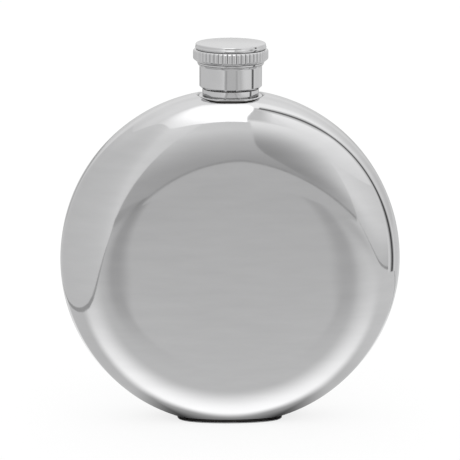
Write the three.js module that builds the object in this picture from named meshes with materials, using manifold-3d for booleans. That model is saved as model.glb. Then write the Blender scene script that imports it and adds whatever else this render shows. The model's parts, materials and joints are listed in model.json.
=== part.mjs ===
// A round pocket flask of polished steel. Two drawn shells make a pillow-shaped body. A turned neck
// stands on a collar at its top, an oval plate closes its base, and a fluted cap screws onto the neck.
// Millimetres, +Z up. The front faces -Y, and the origin lies under the middle of the base plate.

import * as THREE from "three";
import { mergeVertices } from "three/addons/utils/BufferGeometryUtils.js";
import Module from "manifold-3d";

const wasm = await Module();
wasm.setup();

// Body: its half section is a superellipse, turned about the Y axis
const BODY_DIAMETER = 102;
const BODY_THICKNESS = 30;
const BODY_FULLNESS = 3.4; // 2 is a plain ellipse, and a higher value gives a squarer edge
const SHELL_WALL = 0.6;
const SEAT_DEPTH = 2.1; // from the round outline in to the pressed seat that carries the neck
const SEAT_MARGIN = 0.4; // from the collar out to the wall of the seat
const BASE_FLAT_DROP = 2.5; // from the round outline in to the flat over the base plate

// Base plate
const BASE_THICKNESS = 0.8;
const BASE_OVERHANG = 0.2; // past the edge of the body's flat
const BASE_BEVEL = 0.2;

// Neck and its collar
const MOUTH_DIAMETER = 12;
const NECK_WALL = 1.0; // at the root of the thread
const NECK_SHOW = 2.35; // height of the neck seen between the collar and the closed cap
const SHOULDER_BEVEL = 0.15;
const RELIEF_HEIGHT = 0.3; // groove round the foot of the shoulder
const RELIEF_DEPTH = 0.4;
const SPIGOT_STEP = 0.2; // from the root of the thread in to the spigot
const SPIGOT_REACH = 0.8; // below the shell's inner face
const LIP_RADIUS = 0.45;
const COLLAR_THICKNESS = 0.85;
const COLLAR_RIM = 1.05; // past the neck's shoulder

// Thread insert and liner inside the cap
const INSERT_WALL = 0.85;
const INSERT_WEB = 0.9;
const INSERT_BEVEL = 0.3;
const INSERT_INSET = 0.9; // from the cap's lower edge up to the insert
const LINER_LEDGE = 0.3; // from the insert's bore out to the recess that holds the liner
const LINER_THICKNESS = 1.2;

// Cap
const CAP_HEIGHT = 13.25;
const CAP_WALL = 0.55;
const CROWN_HEIGHT = 1.15;
const CROWN_INSET = 0.6; // from the grip in to the crown
const CROWN_RADIUS = 0.5;
const GROOVE_DEPTH = 0.5;
const GROOVE_WIDTH = 0.55;
const GRIP_RISE = 1.9; // from the skirt out to the grip
const GRIP_HEIGHT = 2.9;
const GRIP_BEVEL = 0.4;
const FLUTE_COUNT = 50;
const FLUTE_DEPTH = 0.35;
const TAPER_HEIGHT = 0.95;
const BEAD_RISE = 0.6; // from the skirt out to the bead
const BEAD_HEIGHT = 0.6;
const SKIRT_FILLET = 0.7;
const SKIRT_BEVEL = 0.5;

// Clearances
const FIT_GAP = 0.1; // round a fixed fit
const THREAD_ROOM = 0.8; // between the neck's root and the insert's bore, for both threads
const SHOULDER_STEP = 0.3; // from the skirt's bore in to the neck's shoulder
const SKIRT_GAP = 0.25; // from the neck's shoulder up to the closed cap
const LINER_GAP = 0.15; // round the liner, and under it

// Fineness of the round forms
const BODY_SIDES = 64;
const BODY_STEPS = 9; // from the edge of the body to the middle of a face
const NECK_SIDES = 40;
const ARC_STEPS = 2;
const FLUTE_SIDES = 4; // of the cutter that makes a flute
const PLATE_STEPS = 12; // in a quarter of the base plate's outline

// Heights and half sizes that follow from the values above
const bodyRadius = BODY_DIAMETER / 2;
const bodyHalf = BODY_THICKNESS / 2;
const bodyCentre = BASE_THICKNESS + bodyRadius - BASE_FLAT_DROP;
const seatRise = bodyRadius - SEAT_DEPTH; // above the body's centre
const baseFlat = bodyRadius - BASE_FLAT_DROP; // below the body's centre
const neckSeat = bodyCentre + seatRise;
const capLift = COLLAR_THICKNESS + NECK_SHOW; // the cap's lower edge above the seat
const capCeiling = CAP_HEIGHT - CAP_WALL; // above the cap's lower edge
const linerTop = capCeiling - INSERT_WEB;
const linerFoot = linerTop - LINER_THICKNESS;
const neckHeight = capLift + linerFoot; // from the seat up to the lip

// Radii, from the mouth outwards
const mouth = MOUTH_DIAMETER / 2;
const threadRoot = mouth + NECK_WALL;
const spigot = threadRoot - SPIGOT_STEP;
const spigotHole = spigot + FIT_GAP;
const insertBore = threadRoot + THREAD_ROOM;
const insertOuter = insertBore + INSERT_WALL;
const skirtBore = insertOuter + FIT_GAP;
const skirt = skirtBore + CAP_WALL;
const shoulder = skirtBore - SHOULDER_STEP;
const collar = shoulder + COLLAR_RIM;
const seat = collar + SEAT_MARGIN;
const bead = skirt + BEAD_RISE;
const grip = skirt + GRIP_RISE;
const crown = grip - CROWN_INSET;
const linerRecess = insertBore + LINER_LEDGE;
const linerRadius = linerRecess - LINER_GAP;

// Heights of the grip above the cap's lower edge
const grooveTop = CAP_HEIGHT - CROWN_HEIGHT;
const gripTop = grooveTop - GROOVE_WIDTH;
const gripFoot = gripTop - GRIP_HEIGHT;

// Materials
const steel = { color: 0xc9c9c9, roughness: 0.12, metalness: 1 };
const plastic = { color: 0xe6e4dc, roughness: 0.5, metalness: 0 };
const rubber = { color: 0xd8d6d0, roughness: 0.7, metalness: 0 };

// A closed geometry as a solid that can be cut.
function solid(geometry) {
  const bare = geometry.clone();
  bare.deleteAttribute("normal");
  bare.deleteAttribute("uv");
  const merged = mergeVertices(bare);
  return new wasm.Manifold(
    new wasm.Mesh({
      numProp: 3,
      vertProperties: new Float32Array(merged.attributes.position.array),
      triVerts: new Uint32Array(merged.index.array),
    }),
  );
}

// A cut solid as a geometry again.
function geometryOf(cut) {
  const mesh = cut.getMesh();
  const geometry = new THREE.BufferGeometry();
  geometry.setAttribute("position", new THREE.BufferAttribute(mesh.vertProperties, 3));
  geometry.setIndex(new THREE.BufferAttribute(mesh.triVerts, 1));
  geometry.computeVertexNormals();
  return geometry;
}

function piece(name, geometry, look) {
  const mesh = new THREE.Mesh(geometry, new THREE.MeshStandardMaterial(look));
  mesh.name = name;
  return mesh;
}

// A box between two corners.
function block(low, high) {
  const size = new THREE.Vector3().subVectors(high, low);
  const middle = new THREE.Vector3().addVectors(low, high).multiplyScalar(0.5);
  const geometry = new THREE.BoxGeometry(size.x, size.y, size.z);
  return geometry.translate(middle.x, middle.y, middle.z);
}

// A profile of radius and height, turned about the Z axis.
function upright(path, sides) {
  return new THREE.LatheGeometry(path.getPoints(ARC_STEPS), sides).rotateX(Math.PI / 2);
}

// Depth of the body's outer face from the seam plane, at a distance from the body's axis.
function bodyDepth(radius) {
  const share = 1 - (radius / bodyRadius) ** BODY_FULLNESS;
  return bodyHalf * share ** (1 / BODY_FULLNESS);
}

// Half section of the body from the middle of the front face to the middle of the back face,
// moved inwards by a wall.
function bodyProfile(wall) {
  const points = [];
  for (let step = -BODY_STEPS; step <= BODY_STEPS; step += 1) {
    const turn = (step / BODY_STEPS) * (Math.PI / 2);
    const across = Math.cos(turn) ** (2 / BODY_FULLNESS);
    const along = Math.sign(step) * Math.abs(Math.sin(turn)) ** (2 / BODY_FULLNESS);
    const normal = new THREE.Vector2(
      across ** (BODY_FULLNESS - 1) / bodyRadius,
      Math.sign(step) * Math.abs(along) ** (BODY_FULLNESS - 1) / bodyHalf,
    ).normalize();
    points.push(new THREE.Vector2(
      Math.abs(step) === BODY_STEPS ? 0 : across * bodyRadius - wall * normal.x,
      along * bodyHalf - wall * normal.y,
    ));
  }
  return points;
}

// The body's form about its own centre, with the flat at its base and the round seat at its top,
// moved inwards by a wall.
function bodyForm(wall) {
  const reach = BODY_DIAMETER;
  const round = solid(new THREE.LatheGeometry(bodyProfile(wall), BODY_SIDES));
  const aboveBase = block(
    new THREE.Vector3(-reach, -reach, wall - baseFlat),
    new THREE.Vector3(reach, reach, reach),
  );
  const overSeat = new THREE.CylinderGeometry(seat + wall, seat + wall, reach, NECK_SIDES);
  overSeat.rotateX(Math.PI / 2).translate(0, 0, seatRise - wall + reach / 2);
  return round.intersect(solid(aboveBase)).subtract(solid(overSeat));
}

// Both shells about the body's centre, hollow, with the hole for the neck's spigot.
function hollowBody() {
  const hole = new THREE.CylinderGeometry(spigotHole, spigotHole, BODY_DIAMETER, NECK_SIDES);
  hole.rotateX(Math.PI / 2).translate(0, 0, seatRise);
  return bodyForm(0).subtract(bodyForm(SHELL_WALL)).subtract(solid(hole));
}

function shells() {
  const reach = BODY_DIAMETER;
  const body = hollowBody();
  const front = block(
    new THREE.Vector3(-reach, -reach, -reach),
    new THREE.Vector3(reach, 0, reach),
  );
  const back = block(
    new THREE.Vector3(-reach, 0, -reach),
    new THREE.Vector3(reach, reach, reach),
  );
  const group = new THREE.Group();
  group.add(piece("front_shell", geometryOf(body.intersect(solid(front))), steel));
  group.add(piece("back_shell", geometryOf(body.intersect(solid(back))), steel));
  group.position.z = bodyCentre;
  return group;
}

// An oval that follows the body's flat and stands a little past it.
function basePlate() {
  const halfLength = Math.sqrt(bodyRadius ** 2 - baseFlat ** 2);
  const halfDepth = bodyDepth(baseFlat);
  const outline = [];
  for (let step = 0; step < 4 * PLATE_STEPS; step += 1) {
    const turn = (step / PLATE_STEPS) * (Math.PI / 2);
    const along = halfLength * Math.cos(turn);
    const depth = bodyDepth(Math.min(bodyRadius, Math.hypot(along, baseFlat)));
    outline.push(new THREE.Vector2(
      along * (1 + BASE_OVERHANG / halfLength),
      Math.sign(Math.sin(turn)) * depth * (1 + BASE_OVERHANG / halfDepth),
    ));
  }
  const geometry = new THREE.ExtrudeGeometry(new THREE.Shape(outline), {
    depth: BASE_THICKNESS - 2 * BASE_BEVEL,
    bevelThickness: BASE_BEVEL,
    bevelSize: BASE_BEVEL,
    bevelOffset: -BASE_BEVEL,
    bevelSegments: 1,
  });
  return piece("base_plate", geometry.translate(0, 0, BASE_BEVEL), steel);
}

// A ring with a round edge on the body's seat, round the neck's spigot.
function neckCollar() {
  const edgeRadius = COLLAR_THICKNESS / 2;
  const path = new THREE.Path();
  path.moveTo(spigotHole, 0);
  path.lineTo(collar - edgeRadius, 0);
  path.absarc(collar - edgeRadius, edgeRadius, edgeRadius, -Math.PI / 2, Math.PI / 2, false);
  path.lineTo(spigotHole, COLLAR_THICKNESS);
  path.lineTo(spigotHole, 0);
  return piece("neck_collar", upright(path, NECK_SIDES), steel);
}

// A tube with a spigot in the body, a relieved shoulder on the collar, a land for the thread and a
// round lip.
function neckSpout() {
  const foot = -SHELL_WALL - SPIGOT_REACH;
  const shoulderTop = capLift - SKIRT_GAP;
  const reliefTop = COLLAR_THICKNESS + RELIEF_HEIGHT;
  const lipCentre = neckHeight - LIP_RADIUS;
  const path = new THREE.Path();
  path.moveTo(mouth, foot);
  path.lineTo(spigot, foot);
  path.lineTo(spigot, COLLAR_THICKNESS);
  path.lineTo(shoulder - RELIEF_DEPTH, COLLAR_THICKNESS);
  path.lineTo(shoulder - RELIEF_DEPTH, reliefTop);
  path.lineTo(shoulder, reliefTop);
  path.lineTo(shoulder, shoulderTop - SHOULDER_BEVEL);
  path.lineTo(shoulder - SHOULDER_BEVEL, shoulderTop);
  path.lineTo(threadRoot, shoulderTop);
  path.lineTo(threadRoot, lipCentre);
  path.absarc(threadRoot - LIP_RADIUS, lipCentre, LIP_RADIUS, 0, Math.PI / 2, false);
  path.absarc(mouth + LIP_RADIUS, lipCentre, LIP_RADIUS, Math.PI / 2, Math.PI, false);
  path.lineTo(mouth, foot);
  return piece("neck_spout", upright(path, NECK_SIDES), steel);
}

// The cap's half section: up its outside to the crown, then down its inside from the ceiling.
function capProfile() {
  const groove = crown - GROOVE_DEPTH;
  const beadTop = gripFoot - TAPER_HEIGHT;
  const beadFoot = beadTop - BEAD_HEIGHT;
  const gripBore = grip - FLUTE_DEPTH - CAP_WALL;
  const grooveBore = groove - CAP_WALL;
  const crownCentre = CAP_HEIGHT - CROWN_RADIUS;
  const path = new THREE.Path();
  path.moveTo(skirtBore, 0);
  path.lineTo(skirt - SKIRT_BEVEL, 0);
  path.lineTo(skirt, SKIRT_BEVEL);
  path.lineTo(skirt, beadFoot - SKIRT_FILLET);
  path.lineTo(bead, beadFoot);
  path.lineTo(bead, beadTop);
  path.lineTo(grip - GRIP_BEVEL, gripFoot);
  path.lineTo(grip, gripFoot + GRIP_BEVEL);
  path.lineTo(grip, gripTop - GRIP_BEVEL);
  path.lineTo(grip - GRIP_BEVEL, gripTop);
  path.lineTo(groove, gripTop);
  path.lineTo(groove, grooveTop);
  path.lineTo(crown, grooveTop);
  path.lineTo(crown, crownCentre);
  path.absarc(crown - CROWN_RADIUS, crownCentre, CROWN_RADIUS, 0, Math.PI / 2, false);
  path.lineTo(0, CAP_HEIGHT);
  path.lineTo(0, capCeiling);
  path.lineTo(grooveBore, capCeiling);
  path.lineTo(grooveBore, gripTop);
  path.lineTo(gripBore, gripTop - CAP_WALL);
  path.lineTo(gripBore, gripFoot + CAP_WALL);
  path.lineTo(skirtBore, beadTop);
  path.lineTo(skirtBore, 0);
  return path;
}

// The drawn cap, with upright flutes cut round its grip.
function capShell() {
  const cutterRadius = 2 * FLUTE_DEPTH;
  const cutterHeight = gripTop - gripFoot + GROOVE_WIDTH;
  const place = new THREE.Vector3(grip + cutterRadius - FLUTE_DEPTH, 0, (gripTop + gripFoot) / 2);
  const upAxis = new THREE.Vector3(0, 0, 1);
  let shell = solid(upright(capProfile(), FLUTE_COUNT));
  for (let flute = 0; flute < FLUTE_COUNT; flute += 1) {
    const cutter = new THREE.CylinderGeometry(cutterRadius, cutterRadius, cutterHeight, FLUTE_SIDES);
    cutter.rotateX(Math.PI / 2).translate(place.x, place.y, place.z);
    const turn = ((flute + 0.5) / FLUTE_COUNT) * 2 * Math.PI;
    cutter.applyQuaternion(new THREE.Quaternion().setFromAxisAngle(upAxis, turn));
    shell = shell.subtract(solid(cutter));
  }
  return piece("cap_shell", geometryOf(shell), steel);
}

// A cup pressed into the cap, bored for the thread, with a recess that holds the liner.
function capThreadInsert() {
  const ledge = linerFoot - LINER_GAP;
  const path = new THREE.Path();
  path.moveTo(0, linerTop);
  path.lineTo(linerRecess, linerTop);
  path.lineTo(linerRecess, ledge);
  path.lineTo(insertBore, ledge);
  path.lineTo(insertBore, INSERT_INSET + INSERT_BEVEL);
  path.lineTo(insertBore + INSERT_BEVEL, INSERT_INSET);
  path.lineTo(insertOuter, INSERT_INSET);
  path.lineTo(insertOuter, capCeiling);
  path.lineTo(0, capCeiling);
  return piece("cap_thread_insert", upright(path, NECK_SIDES), plastic);
}

// The disc that seals on the neck's lip.
function capLiner() {
  const path = new THREE.Path();
  path.moveTo(0, linerFoot);
  path.lineTo(linerRadius, linerFoot);
  path.lineTo(linerRadius, linerTop);
  path.lineTo(0, linerTop);
  return piece("cap_liner", upright(path, NECK_SIDES), rubber);
}

// The neck and its collar, on the body's seat.
function neck() {
  const group = new THREE.Group();
  group.add(neckCollar(), neckSpout());
  group.position.z = neckSeat;
  return group;
}

// The closed cap, with its liner on the neck's lip.
function cap() {
  const group = new THREE.Group();
  group.add(capShell(), capThreadInsert(), capLiner());
  group.position.z = neckSeat + capLift;
  return group;
}

const flask = new THREE.Group();
flask.add(shells(), basePlate(), neck(), cap());

export default flask;
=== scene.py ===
import json
import math

import bmesh
import bpy
from mathutils import Matrix, Vector

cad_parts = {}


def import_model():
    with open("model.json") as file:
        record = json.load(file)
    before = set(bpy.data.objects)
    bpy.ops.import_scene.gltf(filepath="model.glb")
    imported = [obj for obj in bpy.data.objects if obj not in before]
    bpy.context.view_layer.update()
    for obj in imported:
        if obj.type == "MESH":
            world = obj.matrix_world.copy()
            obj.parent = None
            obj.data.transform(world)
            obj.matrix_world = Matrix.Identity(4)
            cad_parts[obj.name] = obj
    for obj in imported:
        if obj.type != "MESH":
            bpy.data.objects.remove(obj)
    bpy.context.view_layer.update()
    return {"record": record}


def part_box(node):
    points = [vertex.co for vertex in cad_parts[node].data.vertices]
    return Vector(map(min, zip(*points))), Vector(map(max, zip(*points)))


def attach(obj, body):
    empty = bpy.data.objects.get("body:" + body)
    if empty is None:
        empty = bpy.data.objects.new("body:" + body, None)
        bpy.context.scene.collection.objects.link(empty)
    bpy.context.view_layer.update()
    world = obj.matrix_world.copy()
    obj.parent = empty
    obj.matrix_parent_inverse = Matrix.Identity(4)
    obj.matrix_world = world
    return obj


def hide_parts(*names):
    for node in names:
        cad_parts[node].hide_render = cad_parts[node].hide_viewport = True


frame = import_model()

MM = 0.001
AXIS_REACH = 1e-6

# Camera, fitted to the outlines of the body, the cap and the foot in the photograph
IMAGE_PIXELS = 460
CAMERA_DISTANCE = 0.8
CAMERA_AZIMUTH = math.radians(-2.0)
CAMERA_ELEVATION = math.radians(13.1)
CAMERA_ROLL = math.radians(0.19)
FOCAL_PIXELS = 2655.5
BODY_PIXEL = (230.15, 257.7)  # where the middle of the body lies in the image

# Sizes of the pieces, from the frame
SHELL_LOW, SHELL_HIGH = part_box("front_shell")
PLATE_LOW, PLATE_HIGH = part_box("base_plate")
COLLAR_LOW, COLLAR_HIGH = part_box("neck_collar")
SPOUT_LOW, SPOUT_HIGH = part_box("neck_spout")
CAP_LOW, CAP_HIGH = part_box("cap_shell")
INSERT_LOW, INSERT_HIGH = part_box("cap_thread_insert")
LINER_LOW, LINER_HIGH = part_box("cap_liner")
BODY_RADIUS = SHELL_HIGH.x
BODY_HALF = -SHELL_LOW.y
COLLAR_RADIUS = COLLAR_HIGH.x
SHOULDER_RADIUS = SPOUT_HIGH.x
GRIP_RADIUS = CAP_HIGH.x
INSERT_RADIUS = INSERT_HIGH.x
LINER_RADIUS = LINER_HIGH.x
THREAD_PITCH = frame["record"]["behaviour"]["couplings"][0]["ratio"] * 2 * math.pi

# Body
BODY_FULLNESS = 3.4  # power of the superellipse that is the body's half section
SHELL_WALL = 0.6 * MM
BASE_FLAT_DROP = 2.5 * MM  # from the round outline in to the flat over the base plate
BASE_FLAT = BODY_RADIUS - BASE_FLAT_DROP
BODY_CENTRE = Vector((0, 0, SHELL_LOW.z + BASE_FLAT))
BASE_EDGE = 0.35 * MM  # softness of the edge round the base flat
SEAT_RISE = COLLAR_LOW.z - BODY_CENTRE.z
SEAT_MARGIN = 0.4 * MM  # from the collar out to the wall of the neck's seat
SEAT_RADIUS = COLLAR_RADIUS + SEAT_MARGIN
SEAT_EDGE = 0.7 * MM  # width of that wall, which is rounded
SEAT_SOFTNESS = 0.3 * MM
HOLE_REACH = 4 * MM  # of the neck hole's cutter, up and down from the seat
SEAM_DEPTH = 0.05 * MM
SEAM_WIDTH = 0.14 * MM
SEAM_ROWS = 3
RIM_DEPTH = 10.5 * MM  # the part of the body's side that has even rows
RIM_ROWS = 44
FACE_ROWS = 42
DENSE_ZONE = math.radians(15)  # either side of the neck and of the base
DENSE_STEPS = 114
PLAIN_STEPS = 75
INNER_SKIP = 3  # one inner column for so many outer columns

# Base plate
PLATE_OVERHANG = 0.2 * MM
PLATE_EDGE = 0.06 * MM
PLATE_RIM = 0.25 * MM  # height of the plate's edge below the recess
PLATE_RECESS = 0.8 * MM  # depth of the recess between the edge and the body
PLATE_SIDES = 160

# Neck
MOUTH_RADIUS = 6 * MM
THREAD_ROOT = 7 * MM
SPIGOT_RADIUS = 6.8 * MM
SPIGOT_HOLE = 6.9 * MM
COLLAR_ROUNDING = 0.49  # of the collar's edge, as a share of its thickness
COLLAR_OVERHANG = 0.35 * MM  # of the collar over the sloping body, at its front and back
COLLAR_SOFTNESS = 0.5 * MM
RELIEF_HEIGHT = 0.4 * MM  # groove round the foot of the shoulder
RELIEF_DEPTH = 0.6 * MM
RELIEF_ROUNDING = 0.1 * MM
RELIEF_EDGE = 0.08 * MM
SKIRT_GAP = 0.25 * MM  # from the shoulder up to the closed cap
SHOULDER_TOP = CAP_LOW.z - SKIRT_GAP
SHOULDER_BEVEL = 0.15 * MM
SHOULDER_EDGE = 0.05 * MM
LAND_ROUNDING = 0.2 * MM  # where the threaded land meets the shoulder
LIP_ROUNDING = 0.42 * MM
LIP_ZONE = LIP_ROUNDING * 1.2  # height at the lip that is clear of the land
THREAD_START = 1.6 * MM  # from the shoulder up to the thread's start
THREAD_STOP = 1.5 * MM  # from the lip down to the thread's end
THREAD_FIRST = SHOULDER_TOP + THREAD_START
THREAD_LAST = SPOUT_HIGH.z - THREAD_STOP
THREAD_HEIGHT = 0.5 * MM
THREAD_CREST = 0.5 * MM  # width of the flat on a ridge
THREAD_FLANK = 0.4 * MM
THREAD_ROW = 0.14 * MM
THREAD_RUN_IN = 0.6 * MM  # rise over which a ridge grows to its height

# Cap, with heights above its lower edge
FIT_GAP = 0.1 * MM  # between the insert and the skirt
CAP_WALL = 0.55 * MM
CAP_HEIGHT = CAP_HIGH.z - CAP_LOW.z
CAP_CEILING = CAP_HEIGHT - CAP_WALL
SKIRT_BORE = INSERT_RADIUS + FIT_GAP
SKIRT_RADIUS = SKIRT_BORE + CAP_WALL
BEAD_RISE = 0.6 * MM  # from the skirt out to the bead
BEAD_RADIUS = SKIRT_RADIUS + BEAD_RISE
CROWN_INSET = 0.6 * MM  # from the grip in to the crown
CROWN_RADIUS = GRIP_RADIUS - CROWN_INSET
GROOVE_DEPTH = 0.5 * MM
GROOVE_RADIUS = CROWN_RADIUS - GROOVE_DEPTH
CROWN_HEIGHT = 1.15 * MM
GROOVE_TOP = CAP_HEIGHT - CROWN_HEIGHT
GROOVE_WIDTH = 0.55 * MM
GRIP_TOP = GROOVE_TOP - GROOVE_WIDTH
GRIP_HEIGHT = 2.9 * MM
GRIP_FOOT = GRIP_TOP - GRIP_HEIGHT
TAPER_HEIGHT = 0.95 * MM
BEAD_TOP = GRIP_FOOT - TAPER_HEIGHT
BEAD_HEIGHT = 0.6 * MM
BEAD_FOOT = BEAD_TOP - BEAD_HEIGHT
NOTCH_DEPTH = 0.22 * MM  # of the fine lines above and below the bead
NOTCH_WIDTH = 0.2 * MM
SKIRT_FILLET = 0.7 * MM
SKIRT_BEVEL = 0.5 * MM
CROWN_LIP = 0.15 * MM  # how far the lip round the crown's foot stands out
CROWN_LIP_HEIGHT = 0.08 * MM
CROWN_LIP_TOP = GROOVE_TOP + CROWN_LIP_HEIGHT
CROWN_LIP_RISE = 0.27 * MM
CROWN_LIP_DROP = 0.15 * MM
RIB_COUNT = 50
RIB_DEPTH = 0.5 * MM
RIB_FULLNESS = 0.98  # 1 gives ribs that are half ellipses
RIB_STEPS = 12

# Roundings of the cap, in the order of its outline
CROWN_ROUNDING = 0.45 * MM
CROWN_FOOT_ROUNDING = 0.1 * MM
CROWN_LIP_ROUNDING = 0.12 * MM
CROWN_LIP_EDGE = 0.06 * MM
GROOVE_TOP_ROUNDING = 0.05 * MM
GROOVE_ROUNDING = 0.1 * MM
GRIP_ROUNDING = 0.9 * MM
TAPER_ROUNDING = 0.55 * MM
TAPER_EDGE = 0.05 * MM
NOTCH_ROUNDING = 0.02 * MM
BEAD_TOP_ROUNDING = 0.08 * MM
BEAD_FOOT_ROUNDING = 0.12 * MM
FILLET_EDGE = 0.06 * MM
FILLET_ROUNDING = 0.4 * MM
SKIRT_ROUNDING = 0.12 * MM
SKIRT_EDGE = 0.03 * MM
BORE_ROUNDING = 0.2 * MM

# Thread insert and liner
INSERT_BORE = 7.8 * MM
INSERT_BEVEL = 0.3 * MM
LINER_GAP = 0.15 * MM  # round the liner, and under it
LINER_RECESS = LINER_RADIUS + LINER_GAP
LINER_LEDGE = LINER_LOW.z - LINER_GAP
LINER_EDGE = 0.15 * MM
LIP_MARK = 6.5 * MM  # middle of the ring that the neck's lip has pressed into the liner
LIP_MARK_WIDTH = 1.0 * MM
LIP_MARK_DEPTH = 0.08 * MM
LIP_MARK_ROUNDING = 0.1 * MM

ROUND_SIDES = 144
ARC_STEPS = 6
SHARP_ANGLE = math.radians(32)


# Small helpers
def ease(share):
    share = min(1.0, max(0.0, share))
    return share * share * (3 - 2 * share)


def soft_lower(first, second, softness):
    """The lower of two values, with a rounded change between them."""
    share = min(1.0, max(0.0, 0.5 + 0.5 * (second - first) / softness))
    return second + (first - second) * share - softness * share * (1 - share)


def rounded(corners):
    """A path through corners of (radius, height, rounding), with an arc at each rounding."""
    path = []
    for place, (radius, height, rounding) in enumerate(corners):
        here = Vector((radius, height))
        if rounding == 0:
            path.append(here)
            continue
        before = (Vector(corners[place - 1][:2]) - here).normalized()
        after = (Vector(corners[(place + 1) % len(corners)][:2]) - here).normalized()
        half = math.acos(max(-1.0, min(1.0, before.dot(after)))) / 2
        centre = here + (before + after).normalized() * rounding / math.sin(half)
        start = here + before * rounding / math.tan(half) - centre
        end = here + after * rounding / math.tan(half) - centre
        first = math.atan2(start.y, start.x)
        turn = math.atan2(end.y, end.x) - first
        turn = (turn + math.pi) % (2 * math.pi) - math.pi
        for step in range(ARC_STEPS + 1):
            angle = first + turn * step / ARC_STEPS
            path.append(centre + rounding * Vector((math.cos(angle), math.sin(angle))))
    return path


def join_rings(rings):
    """The faces between each ring of points and the next."""
    faces = []
    for below, above in zip(rings, rings[1:]):
        for place in range(len(below)):
            after = (place + 1) % len(below)
            corners = [below[place], below[after], above[after], above[place]]
            faces.append(list(dict.fromkeys(corners)))
    return faces


def lathe(path, sides, radius_at=None):
    """Points and faces of a path of radius and height, turned about the Z axis.
    The path closes on itself unless it starts and ends on the axis."""
    points = []
    rings = []
    for radius, height in path:
        if radius < AXIS_REACH:
            rings.append([len(points)] * sides)
            points.append((0, 0, height))
            continue
        rings.append(range(len(points), len(points) + sides))
        for side in range(sides):
            angle = 2 * math.pi * side / sides
            reach = radius_at(radius, height, angle) if radius_at else radius
            points.append((reach * math.cos(angle), reach * math.sin(angle), height))
    if path[0][0] >= AXIS_REACH:
        rings.append(rings[0])
    return points, join_rings(rings)


def mesh_object(name, points, faces):
    """A mesh in the scene, with its faces pointing out."""
    mesh = bpy.data.meshes.new(name)
    mesh.from_pydata(points, [], faces)
    work = bmesh.new()
    work.from_mesh(mesh)
    bmesh.ops.recalc_face_normals(work, faces=work.faces)
    work.to_mesh(mesh)
    work.free()
    piece = bpy.data.objects.new(name, mesh)
    bpy.context.scene.collection.objects.link(piece)
    return piece


def fit(piece, material, body, node):
    """Gives a piece its material, and puts it in the place of a node of the frame."""
    piece.data.shade_smooth()
    piece.data.set_sharp_from_angle(angle=SHARP_ANGLE)
    piece.data.materials.clear()
    piece.data.materials.append(material)
    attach(piece, body)
    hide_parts(node)


# Materials
# Painted shade: the colour darkens in joints and grooves where ambient occlusion finds metal close by
JOINT_SHADE_REACH = 0.8 * MM  # how close metal must be for the painted shade in a joint of the body
JOINT_CLOSED = 0.4  # share of open space at which a joint is darkest
GROOVE_SHADE_REACH = 0.6 * MM  # the same for a groove of the cap or the neck
GROOVE_CLOSED = 0.2
CREVICE_SPREAD = 0.3  # how much more open space ends the darkness
CREVICE_SHADE_TONE = 0.04
CREVICE_SAMPLES = 8
# Painted shade at the collar's foot and over the base plate's edge, where they meet the body
COLLAR_SHADE_EDGE = 0.15 * MM  # softness of the edge of the painted shade on the collar's lower half
PLATE_SHADE_EDGE = 0.03 * MM  # the same for the painted shade in the recess over the base plate's edge
PAINTED_SHADE_ENDS = (0.2, 0.8)  # on the scale of a noise: fully shaded, and unshaded
PAINTED_SHADE_WAVER = 0.1
NOISE_LOW = 0.3  # most of a noise lies between these two values
NOISE_HIGH = 0.7
POLISHED_TONES = ((0.63, 0.63, 0.635), (0.655, 0.655, 0.66))
PAINTED_SHADE_TONES = ((0.12, 0.115, 0.11), (0.64, 0.64, 0.645))
TURNED_TONES = ((0.645, 0.645, 0.65), (0.675, 0.675, 0.68))
PLASTIC_TONES = ((0.78, 0.77, 0.73), (0.82, 0.81, 0.77))
RUBBER_TONES = ((0.66, 0.65, 0.62), (0.74, 0.73, 0.7))


def new_material(name):
    material = bpy.data.materials.new(name)
    material.use_nodes = True
    return material, material.node_tree


def feed(tree, made, inputs):
    """Gives inputs of a node fixed values or other nodes' outputs."""
    for key, value in inputs.items():
        if isinstance(value, bpy.types.NodeSocket):
            tree.links.new(value, made.inputs[key])
        else:
            made.inputs[key].default_value = value


def node(tree, kind, inputs=None, **settings):
    made = tree.nodes.new(kind)
    for key, value in settings.items():
        setattr(made, key, value)
    feed(tree, made, inputs or {})
    return made


def calc(tree, operation, *values):
    """A Math node's result. Each value is a number or another node's output."""
    return node(tree, "ShaderNodeMath", dict(enumerate(values)), operation=operation).outputs[0]


def times(tree, first, second):
    return calc(tree, "MULTIPLY", first, second)


def noise(tree, scale, stretch=(1, 1, 1), detail=3.0):
    """Noise in the object's own space, with its grain stretched along the axes."""
    place = node(tree, "ShaderNodeTexCoord").outputs["Object"]
    mapping = node(tree, "ShaderNodeMapping", {"Vector": place, "Scale": stretch})
    inputs = {"Vector": mapping.outputs["Vector"], "Scale": scale, "Detail": detail}
    return node(tree, "ShaderNodeTexNoise", inputs).outputs["Fac"]


def spread(tree, value, low, high, start=NOISE_LOW, end=NOISE_HIGH, kind="LINEAR"):
    """A value mapped from a range, by default a noise's, onto another."""
    inputs = {"Value": value, "From Min": start, "From Max": end, "To Min": low, "To Max": high}
    return node(tree, "ShaderNodeMapRange", inputs, interpolation_type=kind).outputs["Result"]


def two_tones(tree, value, tones):
    ramp = node(tree, "ShaderNodeValToRGB", {"Fac": value})
    first, second = ramp.color_ramp.elements
    first.color = (*tones[0], 1)
    second.color = (*tones[1], 1)
    first.position = NOISE_LOW
    second.position = NOISE_HIGH
    return ramp.outputs["Color"]


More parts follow.
